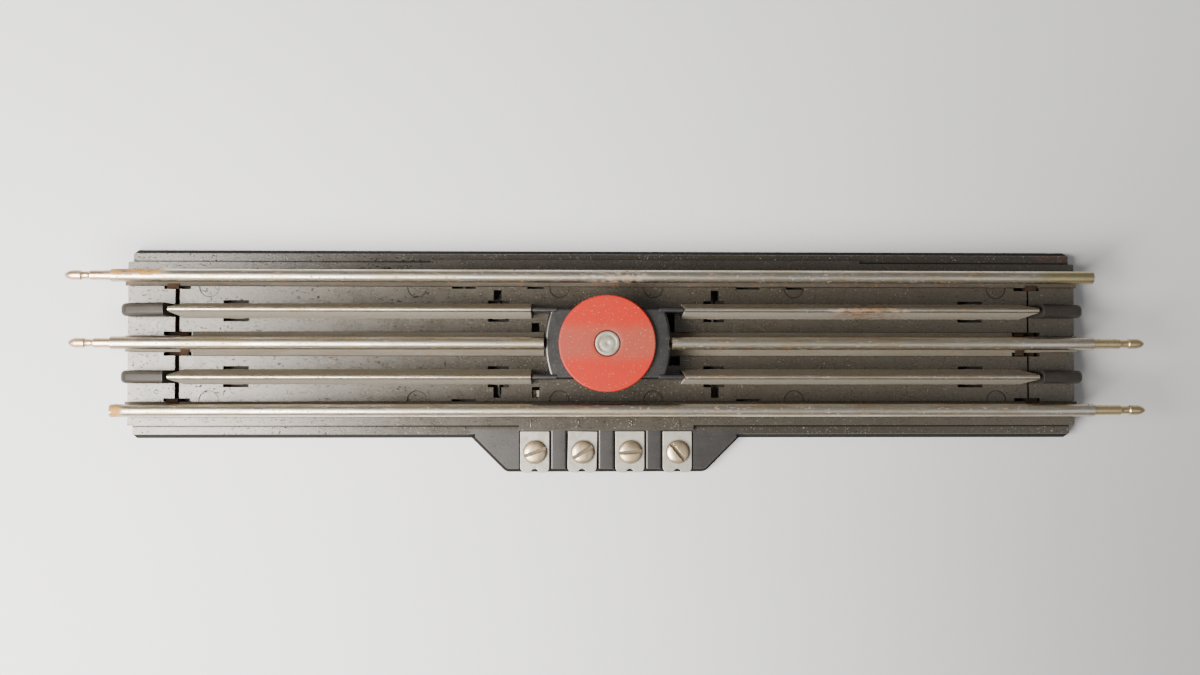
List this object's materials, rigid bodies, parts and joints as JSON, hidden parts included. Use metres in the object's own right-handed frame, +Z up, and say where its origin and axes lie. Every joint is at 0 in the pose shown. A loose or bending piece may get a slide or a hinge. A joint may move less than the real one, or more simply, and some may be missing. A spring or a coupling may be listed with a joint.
{
  "type": "remote-control track section",
  "caption": "Straight three-rail track section with two control rails, a lifting magnet under a round red cap, and numbered screw terminals on a side block.",
  "frame": {"origin": "centre of the underside of the base", "axes": "+X along the rails, +Y away from the terminals, +Z up"},
  "size_m": [0.2794, 0.0594, 0.0175],
  "materials": {
    "base_plastic": "moulded black-brown plastic, satin, dusty on the deck",
    "fibre_board": "dark pressed fibre sheet",
    "plated_steel_screw": "plated steel with a warm tint",
    "rail_steel": "tin-plated steel, bright top, light tarnish and rust",
    "pin_steel": "pale plated steel",
    "pin_brass": "turned brass",
    "clip_steel": "plain steel, slightly rusty",
    "magnet_steel": "turned mild steel",
    "red_paint": "orange-red enamel with a worn, faded band",
    "bobbin_nylon": "natural nylon",
    "enamelled_wire": "enamelled copper wire, layer wound",
    "terminal_plate_tin": "tinned steel, dull and speckled",
    "strip_brass": "sheet brass",
    "wire_insulation": "insulated hook-up wire"
  },
  "bodies": {
    "root": {"base": "base_plastic", "bottom_cover": "fibre_board", "cover_screws": "plated_steel_screw", "outer_rail_far": "rail_steel", "outer_rail_near": "rail_steel", "centre_rail_left": "rail_steel", "centre_rail_right": "rail_steel", "control_rail_far_left": "rail_steel", "control_rail_far_right": "rail_steel", "control_rail_near_left": "rail_steel", "control_rail_near_right": "rail_steel", "track_pin_far_left": "pin_steel", "track_pin_centre_left": "pin_steel", "track_pin_centre_right": "pin_brass", "track_pin_near_right": "pin_brass", "end_tie_left": "clip_steel", "end_tie_right": "clip_steel", "centre_clip_left": "clip_steel", "centre_clip_right": "clip_steel", "magnet_core": "magnet_steel", "magnet_yoke": "magnet_steel", "magnet_cap": "red_paint", "coil_bobbin": "bobbin_nylon", "coil_winding": "enamelled_wire", "contact_strip_1": "strip_brass", "contact_strip_2": "strip_brass", "contact_strip_3": "strip_brass", "contact_strip_4": "strip_brass", "lead_near_rail": "wire_insulation", "lead_centre_rail": "wire_insulation", "lead_coil": "wire_insulation", "lead_far_rail": "wire_insulation", "lead_coil_to_outer_rail": "wire_insulation", "centre_rail_jumper": "wire_insulation", "far_rail_jumper": "wire_insulation", "near_rail_jumper": "wire_insulation"},
    "clamp_plate_1": {"clamp_plate_1": "terminal_plate_tin"},
    "terminal_screw_1": {"terminal_screw_1": "plated_steel_screw"},
    "clamp_plate_2": {"clamp_plate_2": "terminal_plate_tin"},
    "terminal_screw_2": {"terminal_screw_2": "plated_steel_screw"},
    "clamp_plate_3": {"clamp_plate_3": "terminal_plate_tin"},
    "terminal_screw_3": {"terminal_screw_3": "plated_steel_screw"},
    "clamp_plate_4": {"clamp_plate_4": "terminal_plate_tin"},
    "terminal_screw_4": {"terminal_screw_4": "plated_steel_screw"}
  },
  "joints": [
    {"name": "clamp_plate_1_lift", "type": "slide", "parent": "root", "child": "clamp_plate_1", "axis": [0, 0, 1], "range_m": [0, 0.00127]},
    {"name": "terminal_screw_1_turn", "type": "hinge", "parent": "clamp_plate_1", "child": "terminal_screw_1", "pos_m": [-0.01905, -0.0288, 0.0038], "axis": [0, 0, 1], "range_deg": [0, 720]},
    {"name": "clamp_plate_2_lift", "type": "slide", "parent": "root", "child": "clamp_plate_2", "axis": [0, 0, 1], "range_m": [0, 0.00127]},
    {"name": "terminal_screw_2_turn", "type": "hinge", "parent": "clamp_plate_2", "child": "terminal_screw_2", "pos_m": [-0.00635, -0.0288, 0.0038], "axis": [0, 0, 1], "range_deg": [0, 720]},
    {"name": "clamp_plate_3_lift", "type": "slide", "parent": "root", "child": "clamp_plate_3", "axis": [0, 0, 1], "range_m": [0, 0.00127]},
    {"name": "terminal_screw_3_turn", "type": "hinge", "parent": "clamp_plate_3", "child": "terminal_screw_3", "pos_m": [0.00635, -0.0288, 0.0038], "axis": [0, 0, 1], "range_deg": [0, 720]},
    {"name": "clamp_plate_4_lift", "type": "slide", "parent": "root", "child": "clamp_plate_4", "axis": [0, 0, 1], "range_m": [0, 0.00127]},
    {"name": "terminal_screw_4_turn", "type": "hinge", "parent": "clamp_plate_4", "child": "terminal_screw_4", "pos_m": [0.01905, -0.0288, 0.0038], "axis": [0, 0, 1], "range_deg": [0, 720]}
  ],
  "couplings": [
    {"joint": "terminal_screw_1_turn", "follows": "clamp_plate_1_lift", "rad_per_m": 9894.8},
    {"joint": "terminal_screw_2_turn", "follows": "clamp_plate_2_lift", "rad_per_m": 9894.8},
    {"joint": "terminal_screw_3_turn", "follows": "clamp_plate_3_lift", "rad_per_m": 9894.8},
    {"joint": "terminal_screw_4_turn", "follows": "clamp_plate_4_lift", "rad_per_m": 9894.8}
  ]
}
